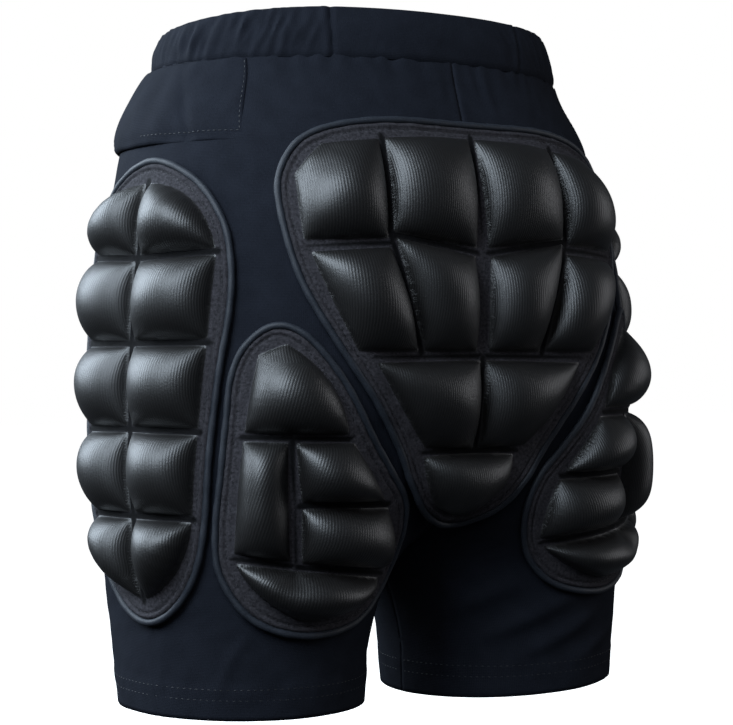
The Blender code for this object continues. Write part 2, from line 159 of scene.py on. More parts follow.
TAIL_OUTLINE = (
    # across, down
    (0.00, 0.000), (0.50, 0.003), (0.82, 0.042), (0.97, 0.125), (1.00, 0.225), (0.93, 0.392),
    (0.77, 0.549), (0.59, 0.684), (0.43, 0.805), (0.34, 0.890), (0.21, 0.967), (0.00, 1.000),
)
HIP_OUTLINE = (
    (0.00, 0.000), (0.50, 0.045), (0.83, 0.130), (0.97, 0.220), (1.00, 0.330), (0.92, 0.480),
    (0.83, 0.630), (0.72, 0.780), (0.55, 0.890), (0.29, 0.970), (0.00, 1.000),
)
THIGH_OUTLINE = (
    (0.80, 0.000), (0.95, 0.070), (0.99, 0.180), (0.94, 0.330), (0.87, 0.480), (0.80, 0.650),
    (0.69, 0.800), (0.42, 0.945), (0.06, 1.000), (-0.32, 0.965), (-0.52, 0.860), (-0.55, 0.720),
    (-0.45, 0.580), (-0.22, 0.465), (0.03, 0.340), (0.34, 0.150), (0.60, 0.025),
)
TAIL_CELLS = {
    # name: (across, down, bow) for each corner
    "first_outer": (
        (0.49, 0.042, 0.0), (0.78, 0.060, 0.03), (0.93, 0.140, 0.02),
        (0.92, 0.311, 0.0), (0.51, 0.303, 0.0),
    ),
    "first_inner": ((0.00, 0.030, 0.02), (0.49, 0.042, 0.0), (0.51, 0.287, 0.0), (0.02, 0.319, 0.0)),
    "second_outer": ((0.50, 0.308, 0.0), (0.90, 0.324, 0.02), (0.69, 0.575, 0.0), (0.35, 0.575, 0.0)),
    "second_inner": ((0.03, 0.324, 0.0), (0.51, 0.282, 0.0), (0.35, 0.575, 0.0), (0.02, 0.575, 0.0)),
    "third": ((0.00, 0.580, 0.0), (0.62, 0.587, 0.02), (0.30, 0.810, 0.0), (0.00, 0.815, 0.0)),
}
TIP_CELL = ((-0.25, 0.817, 0.02), (0.31, 0.817, 0.09), (0.18, 0.952, 0.12), (-0.13, 0.952, 0.09))
HIP_CELLS = {
    "first": ((0.00, 0.042, 0.17), (0.87, 0.205, 0.0), (0.00, 0.215, 0.0)),
    "second": ((0.00, 0.215, 0.0), (0.87, 0.205, 0.0), (0.85, 0.398, 0.0), (0.00, 0.400, 0.0)),
    "third": ((0.00, 0.400, 0.0), (0.85, 0.398, 0.0), (0.77, 0.588, 0.0), (0.00, 0.585, 0.0)),
    "fourth": ((0.00, 0.585, 0.0), (0.77, 0.588, 0.0), (0.65, 0.772, 0.0), (0.00, 0.770, 0.0)),
    "fifth": ((0.00, 0.770, 0.0), (0.65, 0.772, 0.13), (0.00, 0.960, 0.0)),
}
THIGH_CELLS = {
    "top": ((0.69, 0.045, 0.02), (0.87, 0.085, 0.03), (0.83, 0.350, 0.0), (0.15, 0.355, 0.09)),
    "outer": ((0.83, 0.355, 0.0), (0.66, 0.735, 0.0), (0.27, 0.765, 0.0), (0.52, 0.360, 0.0)),
    "inner_upper": ((0.52, 0.360, 0.0), (0.35, 0.570, 0.0), (-0.30, 0.575, 0.0), (0.12, 0.360, 0.0)),
    "inner_lower": ((0.35, 0.570, 0.0), (0.24, 0.768, 0.0), (-0.47, 0.805, 0.06), (-0.30, 0.575, 0.0)),
    "bottom": ((0.67, 0.742, 0.08), (0.10, 0.965, 0.08), (-0.47, 0.815, 0.0), (0.25, 0.772, 0.0)),
}


def between_rows(table, at):
    """The columns of a table at a value of its first column, on a smooth curve."""
    keys = np.array([row[0] for row in table])
    rows = np.array([row[1:] for row in table])
    slopes = np.gradient(rows, keys, axis=0)
    at = min(max(at, keys[0]), keys[-1])
    k = min(int(np.searchsorted(keys, at, side="right")) - 1, len(keys) - 2)
    width = keys[k + 1] - keys[k]
    t = (at - keys[k]) / width
    return (
        (1 + 2 * t) * (1 - t) ** 2 * rows[k]
        + t * (1 - t) ** 2 * width * slopes[k]
        + t * t * (3 - 2 * t) * rows[k + 1]
        + t * t * (t - 1) * width * slopes[k + 1]
    )


def oval_sizes(z):
    """Centre x and y, then inner, side, back and front radius, of the left leg's oval at z."""
    down = (TOP_ABOVE_ORIGIN - z) / LENGTH
    centre, side, inner, back, front, sway = between_rows(SECTIONS, down)
    x, y = centre * LEG_CENTRE_OUT, sway * LEG_SWAY
    return (
        x,
        y,
        x - inner * LEG_CENTRE_OUT,
        side * HIP_HALF_WIDTH - x,
        back * BACK_DEPTH - y,
        front * FRONT_DEPTH + y,
    )


def crotch_height():
    """The z where the two legs part."""
    high, low = -0.5 * LENGTH, HEM_Z
    for _ in range(40):
        middle = (high + low) / 2
        x, _, inner, *_ = oval_sizes(middle)
        if inner > x:
            high = middle
        else:
            low = middle
    return (high + low) / 2


CROTCH_Z = crotch_height()


def section_row(z, bridging):
    """The left half's outline at z, from the back round the side to the front: points, arc
    lengths, and the arc lengths of the leg's back line and of the side line."""
    x, y, inner, side, back, front = oval_sizes(z)
    reach = math.asin(x / inner) if inner > x else math.pi / 2
    angle = np.linspace(-reach, math.pi + reach, ROW_SAMPLES)
    px = x + np.where(np.sin(angle) > 0, side, inner) * np.sin(angle)
    py = y + np.where(np.cos(angle) > 0, back, front) * np.cos(angle)
    cleft = bridging * max(0.0, inner - x)
    eased = np.minimum(np.sqrt(px**2 + cleft**2), x)
    eased_y = y + np.sign(py - y) * np.where(py > y, back, front) * np.sqrt(
        np.clip(1 - ((x - eased) / inner) ** 2, 0, 1)
    )
    py = np.where(np.sin(angle) > 0, py, eased_y)
    points = np.stack([px, py], axis=1)
    arcs = np.concatenate([[0], np.cumsum(np.linalg.norm(np.diff(points, axis=0), axis=1))])
    return points, arcs, np.interp(0, angle, arcs), np.interp(math.pi / 2, angle, arcs)


def read_grid(table, columns, rows):
    """A table's values between its columns and rows."""
    u = np.clip(columns, 0, table.shape[1] - 1.001)
    v = np.clip(rows, 0, table.shape[0] - 1.001)
    i, j = u.astype(int), v.astype(int)
    s, t = u - i, v - j
    if table.ndim == 3:
        s, t = s[:, None], t[:, None]
    return (
        table[j, i] * (1 - s) * (1 - t)
        + table[j, i + 1] * s * (1 - t)
        + table[j + 1, i] * (1 - s) * t
        + table[j + 1, i + 1] * s * t
    )


class BodyMap:
    """Lays flat places (across, z) on the shorts' outer surface. Across is metres along a row
    from a start line: the centre back (leftwards), the leg's back line or the side line
    (forwards)."""

    def __init__(self, start, low, high, bridging=CLOTH_BRIDGING):
        self.across = np.arange(low, high + MAP_STEP, MAP_STEP)
        self.zs = np.arange(HEM_Z - 0.004, TOP_ABOVE_ORIGIN + 0.006, MAP_STEP)
        self.points = np.empty((len(self.zs), len(self.across), 3))
        for k, z in enumerate(self.zs):
            points, arcs, leg_line, side_line = section_row(float(z), bridging)
            at = np.abs(self.across) if start == "centre" else self.across
            at = at + {"centre": 0, "leg": leg_line, "side": side_line}[start]
            x = np.interp(at, arcs, points[:, 0])
            self.points[k, :, 0] = np.where(self.across < 0, -x, x) if start == "centre" else x
            self.points[k, :, 1] = np.interp(at, arcs, points[:, 1])
            self.points[k, :, 2] = z
        normals = np.cross(np.gradient(self.points, axis=0), np.gradient(self.points, axis=1))
        self.normals = normals / np.maximum(np.linalg.norm(normals, axis=2, keepdims=True), 1e-12)

    def place(self, across, z, lift=0.0, mirrored=False):
        """Points of the given flat places, lifted along the surface's normal."""
        u, v = (np.asarray(across) - self.across[0]) / MAP_STEP, (np.asarray(z) - self.zs[0]) / MAP_STEP
        spots = read_grid(self.points, u, v) + read_grid(self.normals, u, v) * np.reshape(lift, (-1, 1))
        return spots * (-1, 1, 1) if mirrored else spots


def smooth_noise(x, y, size, seed):
    """Soft hills between -1 and 1, about size metres apart, at flat places."""
    draw = np.random.default_rng(seed)
    total = np.zeros(len(x))
    for _ in range(14):
        angle = draw.uniform(0, 2 * math.pi)
        pace = 2 * math.pi / size * draw.uniform(0.55, 1.5)
        total += np.sin((x * math.cos(angle) + y * math.sin(angle)) * pace + draw.uniform(0, 6.3))
    return total / 5.2


def ridge(away, width):
    """A smooth ridge's height, from 1 on its line down to 0, at distances away from it."""
    return np.exp(-((away / width) ** 2))


# Flat outlines and cushions


def closed_curve(corners, step):
    """Points about a step apart on a smooth closed curve through the corners."""
    ring = [Vector(corner) for corner in corners]
    count = len(ring)
    points = []
    for k in range(count):
        before, here, after, beyond = (ring[(k + j) % count] for j in (-1, 0, 1, 2))
        steps = max(1, round((after - here).length / step))
        for j in range(steps):
            t = j / steps
            a = here * 2 + (after - before) * t
            b = (before * 2 - here * 5 + after * 4 - beyond) * t**2
            c = (here * 3 - before - after * 3 + beyond) * t**3
            points.append((a + b + c) / 2)
    return points


def even_ring(points, step):
    """The same closed outline with its points an equal step apart."""
    ring = np.array([p[:] for p in points] + [points[0][:]])
    arcs = np.concatenate([[0], np.cumsum(np.linalg.norm(np.diff(ring, axis=0), axis=1))])
    at = np.linspace(0, arcs[-1], max(8, round(arcs[-1] / step)), endpoint=False)
    return [Vector((np.interp(a, arcs, ring[:, 0]), np.interp(a, arcs, ring[:, 1]))) for a in at]


def signed_area(points):
    return sum(a.cross(b) for a, b in zip(points, points[1:] + points[:1])) / 2


def drawn_in(points, distance):
    """A closed outline with every side moved inwards."""
    turn = 1 if signed_area(points) > 0 else -1
    moved = []
    for before, here, after in zip(points[-1:] + points, points, points[1:] + points[:1]):
        first, second = (here - before).normalized(), (after - here).normalized()
        normal = Vector((-first.y - second.y, first.x + second.x)).normalized() * turn
        slant = max(0.4, normal.dot(Vector((-first.y, first.x)) * turn))
        moved.append(here + normal * distance / slant)
    return moved


def both_sides(half):
    return list(half) + [(-across, down) for across, down in reversed(half[1:-1])]


def with_mirrored(cells):
    """Cells and their images across the middle line, with each bow kept on its own side."""
    images = []
    for cell in cells:
        bows = [bow for _, _, bow in cell]
        flipped = [(-across, down) for across, down, _ in reversed(cell)]
        images.append([(*corner, bow) for corner, bow in zip(flipped, bows[-2::-1] + bows[-1:])])
    return list(cells) + images


def placed(points, width, height, top, shift=0.0):
    """Shares of a pad's sizes as flat metres. A bow stays as it is."""
    return [(shift + a * width, -top - d * height, *bow) for a, d, *bow in points]


def cell_sides(cell):
    """The sides of a cell's flat outline, each a row of points, drawn in to the channel's edge."""
    points, steps = [], 8
    for (x, y, bow), (x2, y2, _) in zip(cell, cell[1:] + cell[:1]):
        start, side = Vector((x, y)), Vector((x2 - x, y2 - y))
        outwards = Vector((-side.y, side.x)) * bow * 4
        for j in range(steps):
            t = j / steps
            points.append(start + side * t + outwards * t * (1 - t))
    points = drawn_in(points, CHANNEL_WIDTH / 2)
    ring = np.array([p[:] for p in points + points[:1]])
    return [ring[k * steps : (k + 1) * steps + 1] for k in range(len(cell))]


def cell_rim(cell):
    return np.concatenate([side[:-1] for side in cell_sides(cell)])


def closed(ring):
    return np.vstack([ring, ring[:1]])


def line_distance(places, line):
    """Distance of places from a row of points, and the nearest point on it."""
    best = np.full(len(places), np.inf)
    nearest = np.zeros_like(places)
    for a, b in zip(line, line[1:]):
        side = b - a
        t = np.clip(((places - a) @ side) / max(side @ side, 1e-18), 0, 1)
        point = a + t[:, None] * side
        gap = np.linalg.norm(places - point, axis=1)
        closer = gap < best
        best[closer] = gap[closer]
        nearest[closer] = point[closer]
    return best, nearest


def inside(places, ring):
    """Which places lie in a closed outline."""
    odd = np.zeros(len(places), bool)
    x, y = places[:, 0], places[:, 1]
    for a, b in zip(ring, np.roll(ring, -1, axis=0)):
        crosses = (a[1] > y) != (b[1] > y)
        with np.errstate(divide="ignore", invalid="ignore"):
            odd ^= crosses & (x < a[0] + (y - a[1]) * (b[0] - a[0]) / (b[1] - a[1]))
    return odd


def near_box(places, ring, margin):
    """Numbers of the places in a ring's box, grown by a margin."""
    low, high = ring.min(axis=0) - margin, ring.max(axis=0) + margin
    return np.flatnonzero(np.all((places > low) & (places < high), axis=1))


def cushion_rise(places, cell):
    """The numbers of the places in a cell, and the cushion's height there as a share: round from
    side to side, and drawn down to a point at each corner, as stretched cover cloth is."""
    rim = cell_rim(cell)
    close = near_box(places, rim, 0)
    close = close[inside(places[close], rim)]
    gaps = np.array([line_distance(places[close], side)[0] for side in cell_sides(cell)])
    gaps = gaps**2 / (gaps + RIM_SOFTNESS)
    crown = np.tanh(gaps / gaps.min(axis=0).max()).prod(axis=0) ** CROWN_FULLNESS
    return close, crown / crown.max()


def across_cloth(places, cell):
    """How far across the cover's cloth the places in a cell lie, as the cloth climbs over the
    cushion instead of lying flat."""
    rim = cell_rim(cell)
    low, high = rim.min(axis=0) - CLIMB_STEP, rim.max(axis=0) + CLIMB_STEP
    x, y = np.meshgrid(*(np.arange(a, b, CLIMB_STEP) for a, b in zip(low, high)))
    heights = np.zeros(x.size)
    within, rise = cushion_rise(np.column_stack([x.ravel(), y.ravel()]), cell)
    heights[within] = rise * CELL_RISE
    climbs = np.diff(heights.reshape(x.shape), axis=1)
    run = np.pad(np.cumsum(np.hypot(climbs, CLIMB_STEP), axis=1), ((0, 0), (1, 0)))
    middle = x.shape[1] // 2
    run += (x - run)[:, middle : middle + 1]
    return read_grid(run, *((places - low) / CLIMB_STEP).T)


def fill_flat(outline, loose):
    """Triangles, by point number, over an outline and the loose points within it."""
    edges = [(k, (k + 1) % len(outline)) for k in range(len(outline))]
    _, _, faces, origin, *_ = delaunay_2d_cdt(list(outline) + list(loose), edges, [], 1, 1e-8)
    return [[min(origin[k]) for k in face] for face in faces]


# Meshes


def in_scene(name, data):
    """A new object of the scene that shows the data."""
    thing = bpy.data.objects.new(name, data)
    bpy.context.scene.collection.objects.link(thing)
    return thing


def mesh_of(name, bm):
    mesh = bpy.data.meshes.new(name)
    bm.to_mesh(mesh)
    bm.free()
    return mesh


def finished(name, bm, slot, *materials):
    """A smooth piece from a bmesh, on the frame's one body."""
    mesh = mesh_of(name, bm)
    for material in materials:
        mesh.materials.append(material)
    mesh.shade_smooth()
    piece = in_scene(name, mesh)
    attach(piece, "root")
    return piece


def set_positions(bm, positions):
    for vert, position in zip(bm.verts, positions):
        vert.co = position


def keep_flat(bm, verts, places):
    """Notes each vertex's place on the flat cloth."""
    layer = bm.verts.layers.float_vector["flat_place"]
    for vert, place in zip(verts, places):
        vert[layer] = (place[0], place[1], 0)


def set_weave_uv(bm):
    """A UV map that holds the cloth's own flat metres."""
    flat = bm.verts.layers.float_vector["flat_place"]
    layer = bm.loops.layers.uv.new("weave")
    for face in bm.faces:
        for loop in face.loops:
            loop[layer].uv = loop.vert[flat][:2]
    bm.verts.layers.float_vector.remove(flat)


def cut_grid(columns, rows):
    """A flat grid, and how far across and down it, from 0 to 1, each of its points lies."""
    bm = bmesh.new()
    bm.verts.layers.float_vector.new("flat_place")
    bmesh.ops.create_grid(bm, x_segments=columns, y_segments=rows, size=0.5)
    bmesh.ops.translate(bm, verts=bm.verts, vec=(0.5, -0.5, 0))
    bm.verts.index_update()
    flat = np.array([v.co[:2] for v in bm.verts])
    return bm, flat[:, 0], -flat[:, 1]


def lay_cloth(bm, positions, weave):
    """Moves a flat grid's points to their worn positions, and keeps their flat places."""
    set_positions(bm, positions)
    keep_flat(bm, bm.verts, weave)
    set_weave_uv(bm)


def cloth_piece(name, bm, material, thickness):
    """A cloth with its thickness laid inwards from its outer face, and that face's area."""
    bmesh.ops.recalc_face_normals(bm, faces=bm.faces)
    outward = sum(f.normal.x * f.calc_center_median().x * f.calc_area() for f in bm.faces)
    if outward < 0:
        bmesh.ops.reverse_faces(bm, faces=bm.faces)
    area = sum(f.calc_area() for f in bm.faces)
    piece = finished(name, bm, "knit", material)
    wall = piece.modifiers.new("cloth", "SOLIDIFY")
    wall.thickness = thickness
    wall.offset = -1
    return piece, area


def quilt_cloth(outline, cells, step):
    """A flat cloth cut to an outline, in fine triangles that follow each cell's rim, and its
    points' places."""
    edge = np.array([p[:] for p in outline])
    rings = [edge]
    for cell in cells:
        rim = [Vector(p) for p in cell_rim(cell)]
        rings.append(np.array([p[:] for p in even_ring(rim, step)]))
    low, high = edge.min(axis=0), edge.max(axis=0)
    columns, rows = np.arange(low[0], high[0], step), np.arange(low[1], high[1], step * 0.866)
    across, up = np.meshgrid(columns, rows)
    across[::2] += step / 2
    net = np.column_stack([across.ravel(), up.ravel()])
    net = net[inside(net, edge)]
    for ring in rings:
        close = near_box(net, ring, step)
        gap, _ = line_distance(net[close], closed(ring))
        net = np.delete(net, close[gap < step * 0.6], axis=0)
    corners, sides = [], []
    for ring in rings:
        start, count = len(corners), len(ring)
        corners += [Vector(p) for p in ring]
        sides += [(start + k, start + (k + 1) % count) for k in range(count)]
    corners += [Vector(p) for p in net]
    points, _, faces, *_ = delaunay_2d_cdt(corners, sides, [], 1, 1e-7)
    bm = bmesh.new()
    bm.verts.layers.float_vector.new("flat_place")
    # A share of painted shade for each point, strongest in the narrow channels between cells
    bm.verts.layers.float.new("painted_channel_shade")
    verts = [bm.verts.new((*point, 0)) for point in points]
    for face in faces:
        bm.faces.new([verts[k] for k in face])
    bm.verts.index_update()
    return bm, np.array([p[:] for p in points])


def border_loop(bm):
    """The border's vertices in order, one closed loop."""
    first = next(e for e in bm.edges if e.is_boundary)
    loop, vert, edge = [first.verts[0]], first.verts[1], first
    while vert != loop[0]:
        loop.append(vert)
        edge = next(e for e in vert.link_edges if e.is_boundary and e != edge)
        vert = edge.other_vert(vert)
    return loop


def margin_relief(from_edge):
    """The sewn band along a pad's edge: a rolled ridge, a stitched groove, then the flat margin."""
    relief = -0.0012 * np.exp(-from_edge / 0.0007)
    relief += 0.0006 * ridge(from_edge - 0.0022, 0.0011)
    relief -= 0.0011 * ridge(from_edge - MARGIN_GROOVE_IN, 0.00055)
    return relief


def pad(name, body_map, outline, cells, materials, mirrored, seed):
    """A quilted pad: a flat margin with a sewn groove, and a crowned cushion in each cell."""
    edge = even_ring(drawn_in(outline, EDGE_UNDER_TAPE), 0.002)
    bm, places = quilt_cloth(edge, cells, PAD_STEP)
    from_edge, _ = line_distance(places, np.array([p[:] for p in edge + edge[:1]]))
    height, puffed = np.zeros((2, len(places)))
    # Distances to the nearest two cells' rims, which place the painted shade in the channels
    nearest_two = np.full((2, len(places)), 1.0)
    weave = places.copy()
    for cell in cells:
        within, rise = cushion_rise(places, cell)
        height[within] = rise * CELL_RISE
        puffed[within] = np.minimum(1, rise * 2.2)
        weave[within, 0] = across_cloth(places[within], cell)
        rim = cell_rim(cell)
        close = near_box(places, rim, 2 * CHANNEL_SHADE_REACH)
        gap, _ = line_distance(places[close], closed(rim))
        nearest_two[:, close] = np.sort(np.vstack([nearest_two[:, close], gap]), axis=0)[:2]
    # Painted shade: points near the rims of two cells, down in the channels between them, are marked for a
    # near-black colour
    painted_channel_shade = np.clip((CHANNEL_SHADE_REACH - nearest_two[1]) / CHANNEL_SHADE_FADE, 0, 1)
    depth = bm.verts.layers.float["painted_channel_shade"]
    for vert, shade_here in zip(bm.verts, painted_channel_shade):
        vert[depth] = shade_here
    for face in bm.faces:
        face.material_index = 0 if max(height[v.index] for v in face.verts) > 0.0002 else 1
    height += LAYER_GAP + (MARGIN_THICKNESS + margin_relief(from_edge))
    x, y = places.T
    height += puffed * 0.00016 * smooth_noise(x, y, 0.026, seed + 5)
    height += (1 - puffed) * 0.00022 * smooth_noise(x, y, 0.012, seed)
    keep_flat(bm, bm.verts, weave)
    set_positions(bm, body_map.place(x, y, height, mirrored))
    add_underside(bm, places, body_map, mirrored)
    set_weave_uv(bm)
    piece = finished(name, bm, "cover", *materials)
    return piece


def add_underside(bm, places, body_map, mirrored):
    """Closes a pad's cover with a wall round its border and a plain cloth below."""
    loop = border_loop(bm)
    border = np.array([places[v.index] for v in loop])
    x, y = (np.arange(a, b, UNDERSIDE_STEP) for a, b in zip(border.min(axis=0), border.max(axis=0)))
    net = np.array([(a, b) for a in x for b in y])
    clear = inside(net, border) & (line_distance(net, closed(border))[0] > 0.004)
    loose = net[clear]
    lower_places = np.vstack([border, loose])
    spots = body_map.place(*lower_places.T, LAYER_GAP, mirrored)
    lower = [bm.verts.new(spot) for spot in spots]
    keep_flat(bm, lower, lower_places)
    for face in fill_flat([Vector(p) for p in border], [Vector(p) for p in loose]):
        bm.faces.new([lower[k] for k in face]).material_index = 1
    for k, vert in enumerate(loop):
        after = (k + 1) % len(loop)
        bm.faces.new((vert, loop[after], lower[after], lower[k])).material_index = 1
    bmesh.ops.recalc_face_normals(bm, faces=bm.faces)


def tape(name, body_map, outline, material, mirrored):
    """A round tape along a flat outline on the body."""
    places = np.array([p[:] for p in even_ring(outline, 0.0022)])
    wobble = 1 + 0.05 * np.sin(np.arange(len(places)) * 0.9)
    points = body_map.place(*places.T, LAYER_GAP + BINDING_RADIUS, mirrored)
    curve = bpy.data.curves.new(name, "CURVE")
    curve.dimensions = "3D"
    curve.bevel_depth = BINDING_RADIUS
    curve.bevel_resolution = 3
    line = curve.splines.new("POLY")
    line.points.add(len(points) - 1)
    for place, point, swell in zip(line.points, points, wobble):
        place.co = (*point, 1)
        place.radius = swell
    line.use_cyclic_u = True
    guide = in_scene(name + "_line", curve)
    mesh = bpy.data.meshes.new_from_object(guide.evaluated_get(bpy.context.evaluated_depsgraph_get()))
    bm = bmesh.new()
    bm.from_mesh(mesh)
    bpy.data.objects.remove(guide)
    bpy.data.curves.remove(curve)
    bpy.data.meshes.remove(mesh)
    bmesh.ops.remove_doubles(bm, verts=bm.verts, dist=1e-6)
    bmesh.ops.recalc_face_normals(bm, faces=bm.faces)
    return finished(name, bm, "binding", material)


def stitch_bead():
    """One stitch of unit length and thickness: a small swollen bead."""
    bm = bmesh.new()
    bmesh.ops.create_uvsphere(bm, u_segments=6, v_segments=4, radius=1)
    return mesh_of("stitch_bead", bm)


STITCH_BEAD = stitch_bead()


def stitch_row(bm, points, normals, length, gap):
    """Adds thread stitches along a row of points."""
    arcs = np.concatenate([[0], np.cumsum(np.linalg.norm(np.diff(points, axis=0), axis=1))])

    def between(rows, at):
        return Vector([np.interp(at, arcs, rows[:, k]) for k in range(3)])

    for at in np.arange(length / 2, arcs[-1] - length / 2, length + gap):
        middle = between(points, at)
        along = (between(points, at + length / 2) - middle).normalized()
        out = between(normals, at).normalized()
        across = out.cross(along).normalized()
        turn = Matrix((along, across, out)).transposed().to_4x4()
        size = Matrix.Diagonal((length / 2, THREAD_RADIUS, THREAD_RADIUS, 1))
        place = Matrix.Translation(middle) @ turn @ size
        STITCH_BEAD.transform(place)
        bm.from_mesh(STITCH_BEAD)
        STITCH_BEAD.transform(place.inverted())


def stitches_on(bm, body_map, places, lift, mirrored):
    """Stitches along flat places on the body."""
    places = np.asarray(places, float)
    steps = np.linalg.norm(np.diff(places, axis=0), axis=1)
    arcs = np.concatenate([[0], np.cumsum(steps)])
    fine = np.linspace(0, arcs[-1], max(3, int(arcs[-1] / 0.001)))
    u, v = np.interp(fine, arcs, places[:, 0]), np.interp(fine, arcs, places[:, 1])
    lift = np.interp(fine, arcs, np.broadcast_to(lift, len(places)))
    points = body_map.place(u, v, lift, mirrored)
    normals = body_map.place(u, v, lift + 0.001, mirrored) - points
    stitch_row(bm, points, normals, PAD_STITCH, PAD_STITCH_GAP)


# Folds of the worn cloth


FOLDS = {
    # name: (across, z) at the start and end, width, depth; across is from the centre back
    "leg_right_one": ((-0.060, -0.352), (-0.128, -0.326), 0.0050, 0.0028),
    "leg_right_two": ((-0.085, -0.362), (-0.145, -0.338), 0.0042, 0.0022),
    "leg_right_three": ((-0.045, -0.336), (-0.098, -0.316), 0.0055, 0.0024),
    "leg_right_four": ((-0.120, -0.366), (-0.170, -0.350), 0.0040, 0.0017),
    "leg_left_one": ((0.165, -0.335), (0.172, -0.372), 0.0028, 0.0013),
    "leg_left_two": ((0.050, -0.345), (0.085, -0.368), 0.0060, 0.0008),
    "leg_left_three": ((0.020, -0.350), (0.055, -0.372), 0.0060, 0.0009),
    "seat_left_one": ((0.052, -0.232), (0.040, -0.268), 0.0030, 0.0012),
    "seat_left_two": ((0.064, -0.205), (0.046, -0.246), 0.0035, 0.0010),
    "seat_right_one": ((-0.052, -0.232), (-0.040, -0.268), 0.0030, 0.0010),
    "waist_right_one": ((-0.020, -0.014), (-0.026, -0.040), 0.0028, 0.0009),
    "waist_right_two": ((-0.012, -0.014), (-0.014, -0.030), 0.0024, 0.0008),
    "waist_left_one": ((0.010, -0.014), (0.012, -0.034), 0.0030, 0.0007),
    "waist_left_two": ((0.055, -0.014), (0.050, -0.040), 0.0034, 0.0006),
}


def fold_lift(x, z):
    """How far the worn cloth stands off its smooth form at flat places."""
    places = np.stack([x, z], axis=1)
    total = np.zeros(len(x))
    for start, end, width, depth in FOLDS.values():
        line = np.array([start, end])
        gap, nearest = line_distance(places, line)
        along = np.linalg.norm(nearest - line[0], axis=1) / np.linalg.norm(line[1] - line[0])
        fade = np.clip(np.sin(np.pi * np.clip(along, 0.02, 0.98)), 0, 1) ** 0.5
        total += depth * fade * ridge(gap, width)
    total += 0.0003 * smooth_noise(x, z, 0.045, 21) + 0.00012 * smooth_noise(x, z, 0.014, 22)
    puckers = 0.0007 * smooth_noise(x, z * 0.15, 0.011, 23)
    total += puckers * np.exp(np.minimum(z - SEAM_Z, 0) / 0.007)
    total -= 0.0009 * np.clip((z - SEAM_Z) / TUCK + 0.3, 0, 1)
    hem_edge = HEM_Z + sum(HEM_STITCHES_UP) / 2
    total += 0.00022 * smooth_noise(x, z * 0.2, 0.009, 24) * ridge(z - hem_edge, 0.006)
    for up in HEM_STITCHES_UP:
        total -= 0.0003 * ridge(z - HEM_Z - up, 0.0007)
    total += 0.0004 * (z < HEM_Z + HEM_STITCHES_UP[1] + 0.002)
    return total


def hem_drop(share_round, z, mirrored):
    """How much lower the right leg's hem hangs at a share of the way round from its inner line."""
    down = np.clip((CROTCH_Z - z) / (CROTCH_Z - HEM_Z), 0, 1)
    return (RIGHT_HEM_TILT if mirrored else 0) * (0.2 + 0.5 * np.cos(2 * np.pi * share_round)) * down**2


def shorts_half(name, material, mirrored):
    """One leg's cloth from the waistband's seam to the hem, closed round the leg."""
    above, below = (round(drop / CLOTH_STEP) for drop in (SEAM_Z - CROTCH_Z, CROTCH_Z - HEM_Z))
    share = np.linspace(0, 1, above + 1)
    heights = list(SEAM_Z + (CROTCH_Z - SEAM_Z) * (share + 0.25 * share * (1 - share) * share))
    heights += list(np.linspace(CROTCH_Z, HEM_Z, below + 1)[1:])
    heights = np.array([SEAM_Z + TUCK, SEAM_Z + TUCK / 2] + heights)
    bm, across_share, down_share = cut_grid(LEG_COLUMNS, len(heights) - 1)
    row_number = np.rint(down_share * (len(heights) - 1)).astype(int)
    column = np.rint(across_share * LEG_COLUMNS).astype(int)
    positions, weave = np.empty((len(column), 3)), np.empty((len(column), 2))
    half_map = BodyMap("centre", 0, 0.62)
    for k, z in enumerate(heights):
        here = np.flatnonzero(row_number == k)
        level = np.full(len(here), z)
        _, arcs, _, side_line = section_row(float(z), CLOTH_BRIDGING)
        girth = arcs[-1]
        across = column[here] / LEG_COLUMNS * girth
        lift = fold_lift(across * (-1 if mirrored else 1), level)
        if z > CROTCH_Z:
            lift *= 1 - ridge(np.minimum(across, girth - across), 0.006)
        seam = side_line - SIDE_SEAM_BACK + (RIGHT_LEG_TURN if mirrored else 0)
        lift -= 0.0006 * ridge(across - seam, 0.0009)
        lift += 0.0003 * ridge(across - seam, 0.004)
        if z > CROTCH_Z:
            for end in (0, girth):
                lift -= 0.0007 * ridge(across - end, 0.0009)
                lift += 0.0003 * ridge(across - end, 0.0045)
        spots = half_map.place(np.clip(across, 0.0001, girth - 0.0001), level, lift)
        if z > CROTCH_Z:
            spots[(column[here] == 0) | (column[here] == LEG_COLUMNS), 0] = 0
        spots[:, 2] -= hem_drop(across / girth, z, mirrored)
        positions[here] = spots * (-1, 1, 1) if mirrored else spots
        weave[here] = np.stack([across, level], axis=1)
    lay_cloth(bm, positions, weave)
    below_crotch = [v for v in bm.verts if v.co.z < CROTCH_Z - 0.0005]
    bmesh.ops.remove_doubles(bm, verts=below_crotch, dist=0.0004)
    return cloth_piece(name, bm, material, KNIT)


